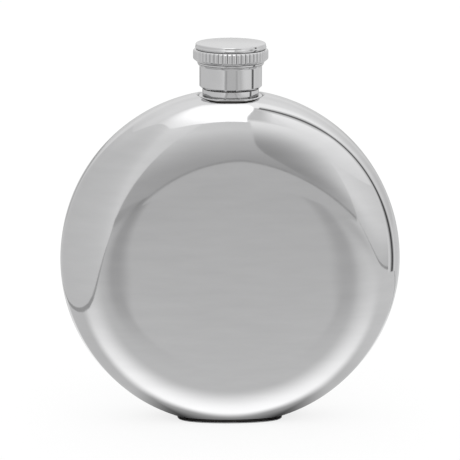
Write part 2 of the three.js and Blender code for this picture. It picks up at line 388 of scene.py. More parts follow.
def painted_crevice_shade(tree, colour, reach, closed):
    """A colour with painted shade in narrow joints and grooves, where ambient occlusion finds metal
    close by.
    """
    around = node(tree, "ShaderNodeAmbientOcclusion", {"Distance": reach}, samples=CREVICE_SAMPLES)
    clear = closed + CREVICE_SPREAD
    crevice_shade = spread(tree, around.outputs["AO"], CREVICE_SHADE_TONE, 1.0, closed, clear)
    inputs = {"Factor": 1.0, "A": colour, "B": crevice_shade}
    mix = node(tree, "ShaderNodeMix", inputs, data_type="RGBA", blend_type="MULTIPLY")
    return mix.outputs["Result"]


def bump(tree, height, distance):
    return node(tree, "ShaderNodeBump", {"Height": height, "Distance": distance}).outputs["Normal"]


def finish_shader(tree, colour, roughness, normal, metallic):
    inputs = {"Base Color": colour, "Roughness": roughness, "Normal": normal, "Metallic": metallic}
    feed(tree, tree.nodes["Principled BSDF"], inputs)


def polished_steel():
    """Mirror polish: faint smears and fine polishing marks, over slow waves of the drawn sheet."""
    material, tree = new_material("polished_steel")
    smears = noise(tree, scale=70, stretch=(1, 1, 5), detail=4.0)
    marks = noise(tree, scale=500, stretch=(1, 1, 9))
    waves = noise(tree, scale=45, detail=1.0)
    colour = two_tones(tree, smears, POLISHED_TONES)
    smeared = spread(tree, smears, low=0.03, high=0.05)
    roughness = calc(tree, "ADD", smeared, spread(tree, marks, low=0, high=0.02))
    # painted shade in the joints of the body
    colour = painted_crevice_shade(tree, colour, JOINT_SHADE_REACH, JOINT_CLOSED)
    finish_shader(tree, colour, roughness, bump(tree, waves, distance=0.004 * MM), metallic=1.0)
    return material


def steel_with_painted_shade(name, dark_end, unshaded_end):
    """Polished steel with painted shade along a joint with the body. It ends between two heights."""
    material, tree = new_material(name)
    smears = noise(tree, scale=400, detail=4.0)
    place = node(tree, "ShaderNodeTexCoord").outputs["Object"]
    axes = node(tree, "ShaderNodeSeparateXYZ", {"Vector": place})
    height = spread(tree, axes.outputs["Z"], *PAINTED_SHADE_ENDS, dark_end, unshaded_end)
    painted_shade = calc(tree, "ADD", height, spread(tree, smears, -PAINTED_SHADE_WAVER, PAINTED_SHADE_WAVER))
    colour = two_tones(tree, painted_shade, PAINTED_SHADE_TONES)
    # painted shade in the joints of the collar and the base plate
    colour = painted_crevice_shade(tree, colour, JOINT_SHADE_REACH, JOINT_CLOSED)
    roughness = spread(tree, smears, low=0.05, high=0.12)
    finish_shader(tree, colour, roughness, bump(tree, smears, distance=0.004 * MM), metallic=1.0)
    return material


def collar_steel():
    """The collar's steel, with painted shade on its lower half, at its foot on the body."""
    middle = (COLLAR_LOW.z + COLLAR_HIGH.z) / 2
    return steel_with_painted_shade("collar_steel", middle - COLLAR_SHADE_EDGE, middle + COLLAR_SHADE_EDGE)


def plate_steel():
    """The base plate's steel, with painted shade in the recess above its edge."""
    border = PLATE_LOW.z + PLATE_RIM
    return steel_with_painted_shade("plate_steel", border, border - PLATE_SHADE_EDGE)


def turned_steel():
    """Steel turned on a lathe and polished: fine rings round the axis."""
    material, tree = new_material("turned_steel")
    smears = noise(tree, scale=160, detail=4.0)
    rings = noise(tree, scale=260, stretch=(0.15, 0.15, 14), detail=4.0)
    colour = two_tones(tree, smears, TURNED_TONES)
    smeared = spread(tree, smears, low=0.04, high=0.07)
    roughness = calc(tree, "ADD", smeared, spread(tree, rings, low=0, high=0.05))
    # painted shade in the grooves of the cap and the neck
    colour = painted_crevice_shade(tree, colour, GROOVE_SHADE_REACH, GROOVE_CLOSED)
    finish_shader(tree, colour, roughness, bump(tree, rings, distance=0.002 * MM), metallic=1.0)
    return material


def insert_plastic():
    """Moulded off-white plastic, with a soft satin grain."""
    material, tree = new_material("insert_plastic")
    cloud = noise(tree, scale=220)
    grain = noise(tree, scale=4000)
    colour = two_tones(tree, cloud, PLASTIC_TONES)
    roughness = spread(tree, grain, low=0.4, high=0.55)
    finish_shader(tree, colour, roughness, bump(tree, grain, distance=0.01 * MM), metallic=0.0)
    return material


def liner_rubber():
    """Pale rubber with a dull, slightly dusty face."""
    material, tree = new_material("liner_rubber")
    dust = noise(tree, scale=350, detail=5.0)
    grain = noise(tree, scale=2500)
    colour = two_tones(tree, dust, RUBBER_TONES)
    roughness = spread(tree, dust, low=0.6, high=0.8)
    finish_shader(tree, colour, roughness, bump(tree, grain, distance=0.02 * MM), metallic=0.0)
    return material


# Body shells
def body_rows():
    """Half section from the seam to the middle of a face: (radius, depth, normal) for each row."""
    depths = [SEAM_WIDTH * row / SEAM_ROWS for row in range(SEAM_ROWS)]
    depths += [SEAM_WIDTH + (RIM_DEPTH - SEAM_WIDTH) * row / RIM_ROWS for row in range(RIM_ROWS)]
    first = math.asin((RIM_DEPTH / BODY_HALF) ** (BODY_FULLNESS / 2))
    for row in range(FACE_ROWS + 1):
        turn = first + (math.pi / 2 - first) * row / FACE_ROWS
        depths.append(BODY_HALF * math.sin(turn) ** (2 / BODY_FULLNESS))
    rows = []
    for depth in depths:
        share = max(0.0, 1 - (depth / BODY_HALF) ** BODY_FULLNESS)
        radius = BODY_RADIUS * share ** (1 / BODY_FULLNESS)
        across = (radius / BODY_RADIUS) ** (BODY_FULLNESS - 1) / BODY_RADIUS
        along = (depth / BODY_HALF) ** (BODY_FULLNESS - 1) / BODY_HALF
        rows.append((radius, depth, Vector((across, along)).normalized()))
    rows[-1] = (0.0, BODY_HALF, Vector((0, 1)))
    return rows


def body_angles():
    """Angles round the body from the right, with close steps at the neck and at the base."""
    top = math.pi / 2
    stops = [top - DENSE_ZONE, top + DENSE_ZONE, 3 * top - DENSE_ZONE, 3 * top + DENSE_ZONE]
    stops.append(stops[0] + 2 * math.pi)
    angles = []
    for place, count in enumerate([DENSE_STEPS, PLAIN_STEPS, DENSE_STEPS, PLAIN_STEPS]):
        start = stops[place]
        angles += [start + (stops[place + 1] - start) * step / count for step in range(count)]
    return angles


def seated(x, y, z, wall):
    """A height on the body, cut by the flat at its base and the round seat at its top."""
    z = -soft_lower(-z, BASE_FLAT - wall, BASE_EDGE)
    if z < 0:
        return z
    beside = (math.hypot(x, y) - SEAT_RADIUS - wall) / SEAT_EDGE
    lowered = soft_lower(z, SEAT_RISE - wall, SEAT_SOFTNESS)
    return lowered + (z - lowered) * ease(beside + 0.5)


def shell_surface(points, rows, angles, side, wall):
    """Adds one face of a shell to the points, and returns its rings. The last ring is one point."""
    rings = []
    for radius, depth, normal in rows:
        groove = SEAM_DEPTH * (1 - ease(depth / SEAM_WIDTH)) if wall == 0 else 0
        reach = radius - wall * normal.x - groove
        y = side * (depth - wall * normal.y)
        if radius < AXIS_REACH:
            rings.append([len(points)] * len(angles))
            points.append(BODY_CENTRE + Vector((0, y, 0)))
            continue
        rings.append(range(len(points), len(points) + len(angles)))
        for angle in angles:
            x = reach * math.cos(angle)
            z = seated(x, y, reach * math.sin(angle), wall)
            points.append(BODY_CENTRE + Vector((x, y, z)))
    return rings


def shell(name, side):
    """One drawn half of the body: its outer and inner faces, joined along the seam."""
    points = []
    rows = body_rows()
    angles = body_angles()
    outer = shell_surface(points, rows, angles, side, 0)
    inner_rows = rows[::INNER_SKIP][:-1] + rows[-1:]
    inner = shell_surface(points, inner_rows, angles[::INNER_SKIP], side, SHELL_WALL)
    faces = join_rings(outer) + join_rings(inner)
    for place, start in enumerate(inner[0]):
        near = [outer[0][(place * INNER_SKIP + step) % len(angles)] for step in range(INNER_SKIP + 1)]
        after = inner[0][(place + 1) % len(inner[0])]
        faces.append(near + [after, start])
    piece = mesh_object(name, points, faces)
    cut_neck_hole(piece)
    return piece


def cut_neck_hole(piece):
    """Cuts the hole for the neck's spigot through a shell."""
    low = COLLAR_LOW.z - HOLE_REACH
    high = COLLAR_LOW.z + HOLE_REACH
    path = [(0, low), (SPIGOT_HOLE, low), (SPIGOT_HOLE, high), (0, high)]
    cutter = mesh_object("hole_cutter", *lathe(path, ROUND_SIDES))
    cut = piece.modifiers.new("neck_hole", "BOOLEAN")
    cut.operation = "DIFFERENCE"
    cut.solver = "EXACT"
    cut.object = cutter
    bpy.context.view_layer.update()
    graph = bpy.context.evaluated_depsgraph_get()
    mesh = bpy.data.meshes.new_from_object(piece.evaluated_get(graph))
    piece.modifiers.clear()
    piece.data = mesh
    bpy.data.objects.remove(cutter)


# Base plate
def plate_outline(inset):
    """The body's base flat, grown by the overhang and drawn in by an inset."""
    half_length = math.sqrt(BODY_RADIUS ** 2 - BASE_FLAT ** 2)
    share = 1 - (BASE_FLAT / BODY_RADIUS) ** BODY_FULLNESS
    half_depth = BODY_HALF * share ** (1 / BODY_FULLNESS)
    grow = PLATE_OVERHANG - inset
    outline = []
    for side in range(PLATE_SIDES):
        turn = 2 * math.pi * side / PLATE_SIDES
        along = half_length * math.cos(turn)
        share = max(0.0, 1 - (math.hypot(along, BASE_FLAT) / BODY_RADIUS) ** BODY_FULLNESS)
        depth = math.copysign(BODY_HALF * share ** (1 / BODY_FULLNESS), math.sin(turn))
        outline.append((along * (1 + grow / half_length), depth * (1 + grow / half_depth)))
    return outline


def base_plate():
    """The oval plate under the body, with a rounded edge and a recess above it."""
    rim_top = PLATE_LOW.z + PLATE_RIM
    profile = rounded([
        (-2 * PLATE_RECESS, PLATE_LOW.z, 0),
        (0, PLATE_LOW.z, PLATE_EDGE),
        (0, rim_top, PLATE_EDGE),
        (-PLATE_RECESS, rim_top, PLATE_EDGE / 2),
        (-PLATE_RECESS, PLATE_HIGH.z, 0),
    ])
    points = [(0, 0, PLATE_LOW.z)]
    rings = [[0] * PLATE_SIDES]
    for reach, height in profile:
        rings.append(range(len(points), len(points) + PLATE_SIDES))
        points += [(x, y, height) for x, y in plate_outline(-reach)]
    rings.append([len(points)] * PLATE_SIDES)
    points.append((0, 0, PLATE_HIGH.z))
    return mesh_object("base_plate_finished", points, join_rings(rings))


# Neck
def thread_rise(height, angle, first, last):
    """How far a thread's ridge stands up at a height and an angle. It runs in and out at its ends."""
    turn = angle / (2 * math.pi)
    ridge = first + THREAD_PITCH * (round((height - first) / THREAD_PITCH - turn) + turn)
    run = ease((ridge - first) / THREAD_RUN_IN) * ease((last - ridge) / THREAD_RUN_IN)
    beside = abs(height - ridge) - THREAD_CREST / 2
    return THREAD_HEIGHT * run * ease(1 - beside / THREAD_FLANK)


def thread_rows(radius, first, last):
    """Points up a straight wall, close enough together for a thread."""
    count = round((last - first) / THREAD_ROW)
    return [(radius, first + (last - first) * row / count) for row in range(count + 1)]


def collar():
    """The ring under the neck. Its front and back are drawn in where the body slopes away below it."""
    edge = (COLLAR_HIGH.z - COLLAR_LOW.z) * COLLAR_ROUNDING
    share = 1 - (SEAT_RISE / BODY_RADIUS) ** BODY_FULLNESS
    limit = BODY_HALF * share ** (1 / BODY_FULLNESS) + COLLAR_OVERHANG

    def drawn_in(radius, height, angle):
        across = max(AXIS_REACH, abs(math.sin(angle)))
        return soft_lower(radius, limit / across, COLLAR_SOFTNESS)

    path = rounded([
        (SPIGOT_HOLE, COLLAR_LOW.z, 0),
        (COLLAR_RADIUS, COLLAR_LOW.z, edge),
        (COLLAR_RADIUS, COLLAR_HIGH.z, edge),
        (SPIGOT_HOLE, COLLAR_HIGH.z, 0),
    ])
    return mesh_object("neck_collar_finished", *lathe(path, ROUND_SIDES, drawn_in))


def spout():
    """The neck: spigot, shoulder, a land with the thread, and a rounded lip."""
    land = SPOUT_HIGH.z - LIP_ZONE
    lower = rounded([
        (MOUTH_RADIUS, SPOUT_LOW.z, 0),
        (SPIGOT_RADIUS, SPOUT_LOW.z, 0),
        (SPIGOT_RADIUS, COLLAR_HIGH.z, 0),
        (SHOULDER_RADIUS - RELIEF_DEPTH, COLLAR_HIGH.z, 0),
        (SHOULDER_RADIUS - RELIEF_DEPTH, COLLAR_HIGH.z + RELIEF_HEIGHT, RELIEF_ROUNDING),
        (SHOULDER_RADIUS, COLLAR_HIGH.z + RELIEF_HEIGHT, RELIEF_EDGE),
        (SHOULDER_RADIUS, SHOULDER_TOP - SHOULDER_BEVEL, SHOULDER_EDGE),
        (SHOULDER_RADIUS - SHOULDER_BEVEL, SHOULDER_TOP, SHOULDER_EDGE),
        (THREAD_ROOT, SHOULDER_TOP, LAND_ROUNDING),
        (THREAD_ROOT, land, 0),
    ])
    upper = rounded([
        (THREAD_ROOT, land, 0),
        (THREAD_ROOT, SPOUT_HIGH.z, LIP_ROUNDING),
        (MOUTH_RADIUS, SPOUT_HIGH.z, LIP_ROUNDING),
        (MOUTH_RADIUS, SPOUT_LOW.z, 0),
    ])
    foot = lower[-2].y
    path = [*lower[:-1], *thread_rows(THREAD_ROOT, foot, land)[1:], *upper[1:-1]]

    def with_thread(radius, height, angle):
        if abs(radius - THREAD_ROOT) > AXIS_REACH or height < foot:
            return radius
        return radius + thread_rise(height, angle, THREAD_FIRST, THREAD_LAST)

    return mesh_object("neck_spout_finished", *lathe(path, ROUND_SIDES, with_thread))


# Cap
def rib_radius(radius, height, angle):
    """Rounded ribs with narrow grooves between them, round the grip."""
    across = 2 * ((RIB_COUNT * angle / (2 * math.pi) + 0.5) % 1) - 1
    dome = math.sqrt(1 - RIB_FULLNESS * across * across)
    return min(radius, GRIP_RADIUS - RIB_DEPTH * (1 - dome))


def cap_shell():
    """The drawn cap: crown, groove, ribbed grip, taper, bead and plain skirt."""
    grip_bore = GRIP_RADIUS - RIB_DEPTH - CAP_WALL
    groove_bore = GROOVE_RADIUS - CAP_WALL
    corners = [
        (0, CAP_HEIGHT, 0),
        (CROWN_RADIUS - CROWN_LIP, CAP_HEIGHT, CROWN_ROUNDING),
        (CROWN_RADIUS - CROWN_LIP, CROWN_LIP_TOP + CROWN_LIP_RISE, CROWN_FOOT_ROUNDING),
        (CROWN_RADIUS, CROWN_LIP_TOP, CROWN_LIP_ROUNDING),
        (CROWN_RADIUS, GROOVE_TOP - CROWN_LIP_DROP, CROWN_LIP_EDGE),
        (GROOVE_RADIUS, GROOVE_TOP - CROWN_LIP_DROP, GROOVE_TOP_ROUNDING),
        (GROOVE_RADIUS, GRIP_TOP, GROOVE_ROUNDING),
        (GRIP_RADIUS, GRIP_TOP, GRIP_ROUNDING),
        (GRIP_RADIUS, GRIP_FOOT, TAPER_ROUNDING),
        (BEAD_RADIUS + NOTCH_WIDTH, BEAD_TOP + NOTCH_WIDTH / 2, TAPER_EDGE),
        (BEAD_RADIUS - NOTCH_DEPTH, BEAD_TOP, NOTCH_ROUNDING),
        (BEAD_RADIUS, BEAD_TOP - NOTCH_WIDTH / 2, BEAD_TOP_ROUNDING),
        (BEAD_RADIUS, BEAD_FOOT + NOTCH_WIDTH / 2, BEAD_FOOT_ROUNDING),
        (BEAD_RADIUS - NOTCH_DEPTH - NOTCH_WIDTH / 2, BEAD_FOOT, NOTCH_ROUNDING),
        (BEAD_RADIUS - NOTCH_WIDTH / 2, BEAD_FOOT - NOTCH_WIDTH / 2, FILLET_EDGE),
        (SKIRT_RADIUS, BEAD_FOOT - SKIRT_FILLET, FILLET_ROUNDING),
        (SKIRT_RADIUS, SKIRT_BEVEL, SKIRT_ROUNDING),
        (SKIRT_RADIUS - SKIRT_BEVEL, 0, SKIRT_EDGE),
        (SKIRT_BORE, 0, 0),
        (SKIRT_BORE, BEAD_TOP, BORE_ROUNDING),
        (grip_bore, GRIP_FOOT + CAP_WALL, BORE_ROUNDING),
        (grip_bore, GRIP_TOP - CAP_WALL, BORE_ROUNDING),
        (groove_bore, GRIP_TOP, GROOVE_ROUNDING),
        (groove_bore, CAP_CEILING, BORE_ROUNDING),
        (0, CAP_CEILING, 0),
    ]
    path = [(radius, CAP_LOW.z + height) for radius, height in rounded(corners)]
    return mesh_object("cap_shell_finished", *lathe(path, RIB_COUNT * RIB_STEPS, rib_radius))


def cap_thread_insert():
    """The cup inside the cap, with a thread that runs between the turns of the neck's thread."""
    foot = INSERT_LOW.z + INSERT_BEVEL
    path = [
        (0, LINER_HIGH.z),
        (LINER_RECESS, LINER_HIGH.z),
        (LINER_RECESS, LINER_LEDGE),
        *reversed(thread_rows(INSERT_BORE, foot, LINER_LEDGE)),
        (INSERT_BORE + INSERT_BEVEL, INSERT_LOW.z),
        (INSERT_RADIUS, INSERT_LOW.z),
        (INSERT_RADIUS, INSERT_HIGH.z),
        (0, INSERT_HIGH.z),
    ]
    first = THREAD_FIRST - THREAD_PITCH / 2

    def with_thread(radius, height, angle):
        if abs(radius - INSERT_BORE) > AXIS_REACH:
            return radius
        return radius - thread_rise(height, angle, first, THREAD_LAST)

    return mesh_object("cap_thread_insert_finished", *lathe(path, ROUND_SIDES, with_thread))


def cap_liner():
    """The sealing disc, with the ring that the lip has pressed into it."""
    inner = LIP_MARK - LIP_MARK_WIDTH / 2
    outer = LIP_MARK + LIP_MARK_WIDTH / 2
    path = rounded([
        (0, LINER_LOW.z, 0),
        (inner - LINER_EDGE, LINER_LOW.z, LIP_MARK_ROUNDING),
        (inner, LINER_LOW.z + LIP_MARK_DEPTH, LIP_MARK_ROUNDING),
        (outer, LINER_LOW.z + LIP_MARK_DEPTH, LIP_MARK_ROUNDING),
        (outer + LINER_EDGE, LINER_LOW.z, LIP_MARK_ROUNDING),
        (LINER_RADIUS, LINER_LOW.z, LINER_EDGE),
        (LINER_RADIUS, LINER_HIGH.z, LINER_EDGE),
        (0, LINER_HIGH.z, 0),
    ])
    return mesh_object("cap_liner_finished", *lathe(path, ROUND_SIDES))


def build_flask():
    polished = polished_steel()
    turned = turned_steel()
    fit(shell("front_shell_finished", -1), polished, "flask", "front_shell")
    fit(shell("back_shell_finished", 1), polished, "flask", "back_shell")
    fit(base_plate(), plate_steel(), "flask", "base_plate")
    fit(collar(), collar_steel(), "flask", "neck_collar")
    fit(spout(), turned, "flask", "neck_spout")
    fit(cap_shell(), turned, "cap", "cap_shell")
    fit(cap_thread_insert(), insert_plastic(), "cap", "cap_thread_insert")
    fit(cap_liner(), liner_rubber(), "seal", "cap_liner")


# Studio: levels are radiances, and 1 is white. Metal sees the floor as a pattern of light: a bright
# ridge that curves round the foot, a shade in front of it and behind, and a contact shadow.
FLOOR_REACH = 6.0
FLOOR_DROP = 0.05 * MM
FLOOR_TONE = (0.25, 0.25, 0.25, 1)
FLOOR_GLOW = 0.77
RIDGE_NEAR = 12.5 * MM  # from the middle of the foot to the ridge
RIDGE_CURVE = 182 * MM
RIDGE_LEVEL = 0.84
RIDGE_RISE = 0.72
RIDGE_REACH = 70 * MM
RIDGE_FADE = (140 * MM, 280 * MM)  # where it fades into the shade, at the sides
SIDE_LEVEL = 0.7
SIDE_RIGHT = 0.09  # added on the right
SIDE_START = 10 * MM
SIDE_END = 38 * MM
CONTACT_START = 4 * MM  # where the contact shadow is black, and how far on it reaches its level
CONTACT_REACH = 6 * MM
CONTACT_LEVEL = 0.45
CONTACT_EDGE = 0.76  # share of the way to the ridge where it ends, at the foot
CONTACT_SLACK = 0.25  # taken off that share at the sides
SHADE_LEVEL = 0.615
SHADE_RISE = 0.125
SHADE_REACH = 230 * MM
SHADE_SPAN = (0.95, 2.25)  # where it grows, as shares of the way to the ridge
FAR_DEPTH = 0.16  # taken off the far floor on the left
FAR_SPAN = (-170 * MM, -300 * MM)
BAND_DEPTH = 0.17  # darker edge of the shade on the left
BAND_GROWTH = (2.0, 3.2)  # where it grows and fades, as shares of the way to the ridge
BAND_FADE = 3.6
BAND_END = 4.2
BAND_WIDER = 1.8  # added to that last share, far from the foot
BAND_WIDENING = (90 * MM, 200 * MM)
BAND_DEEPENING = (40 * MM, 130 * MM)  # how far from the foot it grows to its depth
BAND_SHIFT = 0.25  # share by which it is nearer on the right
BAND_LESS = 0.06  # taken off on the right
BAND_MIDDLE = 20 * MM  # half of the width where left changes to right


def floor_pattern(tree):
    """The level that polished metal sees at a place on the floor."""
    place = node(tree, "ShaderNodeNewGeometry").outputs["Position"]
    axes = node(tree, "ShaderNodeSeparateXYZ", {"Vector": place})
    x = axes.outputs["X"]
    across = calc(tree, "ABSOLUTE", x)
    along = calc(tree, "ABSOLUTE", axes.outputs["Y"])
    across_2 = times(tree, across, across)
    ridge_at = calc(tree, "ADD", calc(tree, "DIVIDE", across_2, RIDGE_CURVE), RIDGE_NEAR)
    share = calc(tree, "DIVIDE", along, ridge_at)
    beyond = calc(tree, "DIVIDE", across_2, RIDGE_REACH)
    ridge = fall_off(tree, beyond, RIDGE_LEVEL, RIDGE_RISE, RIDGE_REACH)
    right = node_step(tree, x, SIDE_END, RIDGE_REACH)
    sides = node_step(tree, across, SIDE_START, SIDE_END)
    beside = times(tree, sides, SIDE_LEVEL)
    beside = calc(tree, "ADD", beside, times(tree, right, SIDE_RIGHT))
    level = calc(tree, "MAXIMUM", beside, contact_shadow(tree, along))
    edge = calc(tree, "SUBTRACT", CONTACT_EDGE, times(tree, sides, CONTACT_SLACK))
    shade = fall_off(tree, along, SHADE_LEVEL, SHADE_RISE, SHADE_REACH)
    shade = calc(tree, "SUBTRACT", shade, shade_band(tree, share, along, x))
    far = node_step(tree, x, *FAR_SPAN)
    shade = calc(tree, "SUBTRACT", shade, times(tree, far, FAR_DEPTH))
    ridge = blend(tree, ridge, shade, node_step(tree, across, *RIDGE_FADE))
    level = blend(tree, level, ridge, node_step(tree, share, edge, 1.0))
    return blend(tree, level, shade, node_step(tree, share, *SHADE_SPAN))


def contact_shadow(tree, along):
    """The level close to the foot. It rises with the square of the distance."""
    share = calc(tree, "DIVIDE", calc(tree, "SUBTRACT", along, CONTACT_START), CONTACT_REACH)
    share = calc(tree, "MINIMUM", calc(tree, "MAXIMUM", share, 0.0), 1.0)
    return times(tree, times(tree, share, share), CONTACT_LEVEL)


def shade_band(tree, share, along, x):
    """How much darker the shade is along its edges, more so on the left."""
    right = node_step(tree, x, -BAND_MIDDLE, BAND_MIDDLE)
    shift = calc(tree, "ADD", times(tree, right, BAND_SHIFT), 1.0)
    share = times(tree, share, shift)
    wider = node_step(tree, along, *BAND_WIDENING)
    end = calc(tree, "ADD", times(tree, wider, BAND_WIDER), BAND_END)
    grown = node_step(tree, share, *BAND_GROWTH)
    band = times(tree, grown, node_step(tree, share, end, BAND_FADE))
    band = times(tree, band, node_step(tree, along, *BAND_DEEPENING))
    depth = calc(tree, "SUBTRACT", BAND_DEPTH, times(tree, right, BAND_LESS))
    return times(tree, band, depth)


def fall_off(tree, distance, level, rise, reach):
    """A level with a rise that dies away with distance."""
    power = calc(tree, "EXPONENT", calc(tree, "DIVIDE", distance, -reach))
    return calc(tree, "ADD", level, times(tree, power, rise))


def blend(tree, first, second, share):
    change = calc(tree, "SUBTRACT", second, first)
    return calc(tree, "ADD", first, times(tree, share, change))


def node_step(tree, value, start, end):
    """A soft step from 0 at the start to 1 at the end."""
    return spread(tree, value, 0, 1, start, end, "SMOOTHSTEP")


def floor():
    """A white floor that keeps the flask's shadow. Metal sees its pattern of light."""
    reach = FLOOR_REACH
    corners = [(-reach, -reach), (reach, -reach), (reach, reach), (-reach, reach)]
    piece = mesh_object("floor", [(x, y, -FLOOR_DROP) for x, y in corners], [[0, 1, 2, 3]])
    material, tree = new_material("floor")
    tree.nodes.clear()
    paper = node(tree, "ShaderNodeBsdfDiffuse", {"Color": FLOOR_TONE}).outputs[0]
    glow = node(tree, "ShaderNodeEmission", {"Strength": FLOOR_GLOW}).outputs[0]
    both = node(tree, "ShaderNodeAddShader", {0: paper, 1: glow}).outputs[0]
    pattern = node(tree, "ShaderNodeEmission", {"Strength": floor_pattern(tree)}).outputs[0]
    mirrored = node(tree, "ShaderNodeLightPath").outputs["Is Glossy Ray"]
    mix = node(tree, "ShaderNodeMixShader", {"Fac": mirrored, 1: both, 2: pattern}).outputs[0]
    node(tree, "ShaderNodeOutputMaterial", {"Surface": mix})
    piece.data.materials.append(material)


# Cards: most are placed by directions seen from the flask, in degrees. Azimuth 0 is straight in
# front, and a positive azimuth is to the right. The others stand on the floor, in metres.
CARD_STEPS = 48
VIEW_HEIGHT = 1.5  # where the directions start, as a share of the height of the body's centre
VIEW_POINT = BODY_CENTRE * VIEW_HEIGHT
LINE_LEVEL = 0.42


def card_material():
    """Light from a card, at the level stored in its mesh."""
    material, tree = new_material("studio_card")
    tree.nodes.clear()
    level = node(tree, "ShaderNodeAttribute", attribute_name="level").outputs["Fac"]
    light = node(tree, "ShaderNodeEmission", {"Strength": level}).outputs[0]
    node(tree, "ShaderNodeOutputMaterial", {"Surface": light})
    return material


def card(name, material, place):
    """A sheet that only metal sees. The place gives a point and a level for two shares from 0 to 1."""
    points = []
    levels = []
    faces = []
    for row in range(CARD_STEPS + 1):
        for column in range(CARD_STEPS + 1):
            point, level = place(column / CARD_STEPS, row / CARD_STEPS)
            points.append(point)
            levels.append(level)
    for row in range(CARD_STEPS):
        for column in range(CARD_STEPS):
            start = row * (CARD_STEPS + 1) + column
            faces.append([start, start + 1, start + CARD_STEPS + 2, start + CARD_STEPS + 1])
    piece = mesh_object(name, points, faces)
    stored = piece.data.attributes.new("level", "FLOAT", "POINT")
    stored.data.foreach_set("value", levels)
    piece.data.materials.append(material)
    piece.visible_camera = False
    piece.visible_diffuse = False
    piece.visible_shadow = False


def toward(azimuth, elevation, distance):
    """The point at a distance from the flask in a direction given in degrees."""
    turn = math.radians(azimuth)
    tilt = math.radians(elevation)
    level = math.cos(tilt)
    direction = Vector((math.sin(turn) * level, -math.cos(turn) * level, math.sin(tilt)))
    return VIEW_POINT + distance * direction


def between(start, end, share):
    return start + (end - start) * share


def soft_step(value, start, end):
    """0 at the start, 1 at the end, and an eased change between them."""
    return ease((value - start) / (end - start))


def hump(value, rise, fall):
    """1 between a rise and a fall, and 0 outside them."""
    return soft_step(value, *rise) * (1 - soft_step(value, *fall))


def bend_away(distance, splay, softness):
    """How far a sheet has bent aside, at a distance past the start of its bend."""
    beyond = max(0.0, distance)
    return splay * beyond * beyond / (beyond + softness)


# Tent
TENT_DISTANCE = 4.0
TENT_SPAN = (-4, 89)
TENT_LEVEL = 0.72
TENT_RISE = 0.33  # added at its top
TENT_LEFT = 0.12  # taken off on its left
TENT_RIGHT = 0.22  # added on its right
TENT_BACK = 0.14  # added low down at its back
TENT_LEFT_SIDE = ((-20, -40), (-120, -160))
TENT_RIGHT_SIDE = ((10, 35), (85, 125))
TENT_LOW = ((0, 14), (12, 42))


def tent(across, up):
    """White cloth all round, darker at its foot and lighter on the right."""
    azimuth = between(-180, 180, across)
    elevation = between(*TENT_SPAN, up)
    level = TENT_LEVEL + TENT_RISE * soft_step(elevation, 0, 60)
    level -= TENT_LEFT * hump(azimuth, *TENT_LEFT_SIDE) * (1 - soft_step(elevation, 45, 70))
    level += TENT_RIGHT * hump(azimuth, *TENT_RIGHT_SIDE) * soft_step(elevation, -8, 17)
    level += TENT_BACK * soft_step(abs(azimuth), 130, 160) * hump(elevation, *TENT_LOW)
    return toward(azimuth, elevation, TENT_DISTANCE), level


# Front lip of the floor, with a dark line along its edge
FRONT_DISTANCE = 1.0
FRONT_SIDES = (-24, 31)
FRONT_FOOT = -14
FRONT_LEVEL = 0.63
FRONT_MIDDLE = 4  # azimuth of its highest place
FRONT_RISE = 3
FRONT_LEFT = (0.1, 1.5)  # how it falls to each side: a factor and a power
FRONT_RIGHT = (0.12, 1.2)
LIP_LINE_DISTANCE = 0.98
LIP_LINE_SIDES = (-22, 31)
LIP_LINE_WIDTH = 0.9


def lip(azimuth):
    """How high the floor's front lip stands at an azimuth."""
    factor, power = FRONT_LEFT if azimuth < FRONT_MIDDLE else FRONT_RIGHT
    return FRONT_RISE - factor * abs(azimuth - FRONT_MIDDLE) ** power


def front_lip(across, up):
    azimuth = between(*FRONT_SIDES, across)
    return toward(azimuth, between(FRONT_FOOT, lip(azimuth), up), FRONT_DISTANCE), FRONT_LEVEL


def lip_line(across, up):
    azimuth = between(*LIP_LINE_SIDES, across)
    elevation = lip(azimuth) + LIP_LINE_WIDTH * (up - 0.5)
    return toward(azimuth, elevation, LIP_LINE_DISTANCE), LINE_LEVEL


# Gap in front, where the camera looks in, and the sheet at its right
GAP_DISTANCE = 1.6
GAP_FOOT = -3
GAP_TOP = 34
GAP_LEFT = -26
GAP_LEFT_LEAN = 0.4  # in degrees of azimuth for each degree up
GAP_RIGHT = 7
GAP_RIGHT_LEAN = 0.1
GAP_BEND = 14  # elevation below which the right side bends away
GAP_SPLAY = 23  # how far it bends away at the foot
GAP_CURVE = 3.3
GAP_LAP = 1  # how far it reaches behind the sheet
GAP_LEVEL = 0.5
GAP_RISE = 0.0195  # for each degree above the front lip
GAP_LIGHTEST = 0.88
GAP_SLANT = 0.08  # added from its right to its left
SHEET_DISTANCE = 1.3
SHEET_FOOT = -9
SHEET_WIDTH = 32
SHEET_LEVEL = 0.97
SHEET_RISE = 0.15  # added at its top
SHEET_DARK = 0.58  # taken off at its front edge
SHEET_LEAST = 0.6  # share of that darkness at its foot


def gap_right(elevation):
    """The right side of the gap in front, where the right sheet starts."""
    if elevation < GAP_BEND:
        return GAP_RIGHT + GAP_SPLAY * ((GAP_BEND - elevation) / (GAP_BEND - GAP_FOOT)) ** GAP_CURVE
    return GAP_RIGHT + GAP_RIGHT_LEAN * (elevation - GAP_BEND)


def front_gap(across, up):
    elevation = between(GAP_FOOT, GAP_TOP, up)
    left = GAP_LEFT + GAP_LEFT_LEAN * max(0.0, elevation)
    azimuth = between(left, gap_right(elevation) + GAP_LAP, across)
    level = min(GAP_LIGHTEST, GAP_LEVEL + GAP_RISE * max(0.0, elevation - FRONT_RISE))
    return toward(azimuth, elevation, GAP_DISTANCE), level + GAP_SLANT * (0.5 - across)


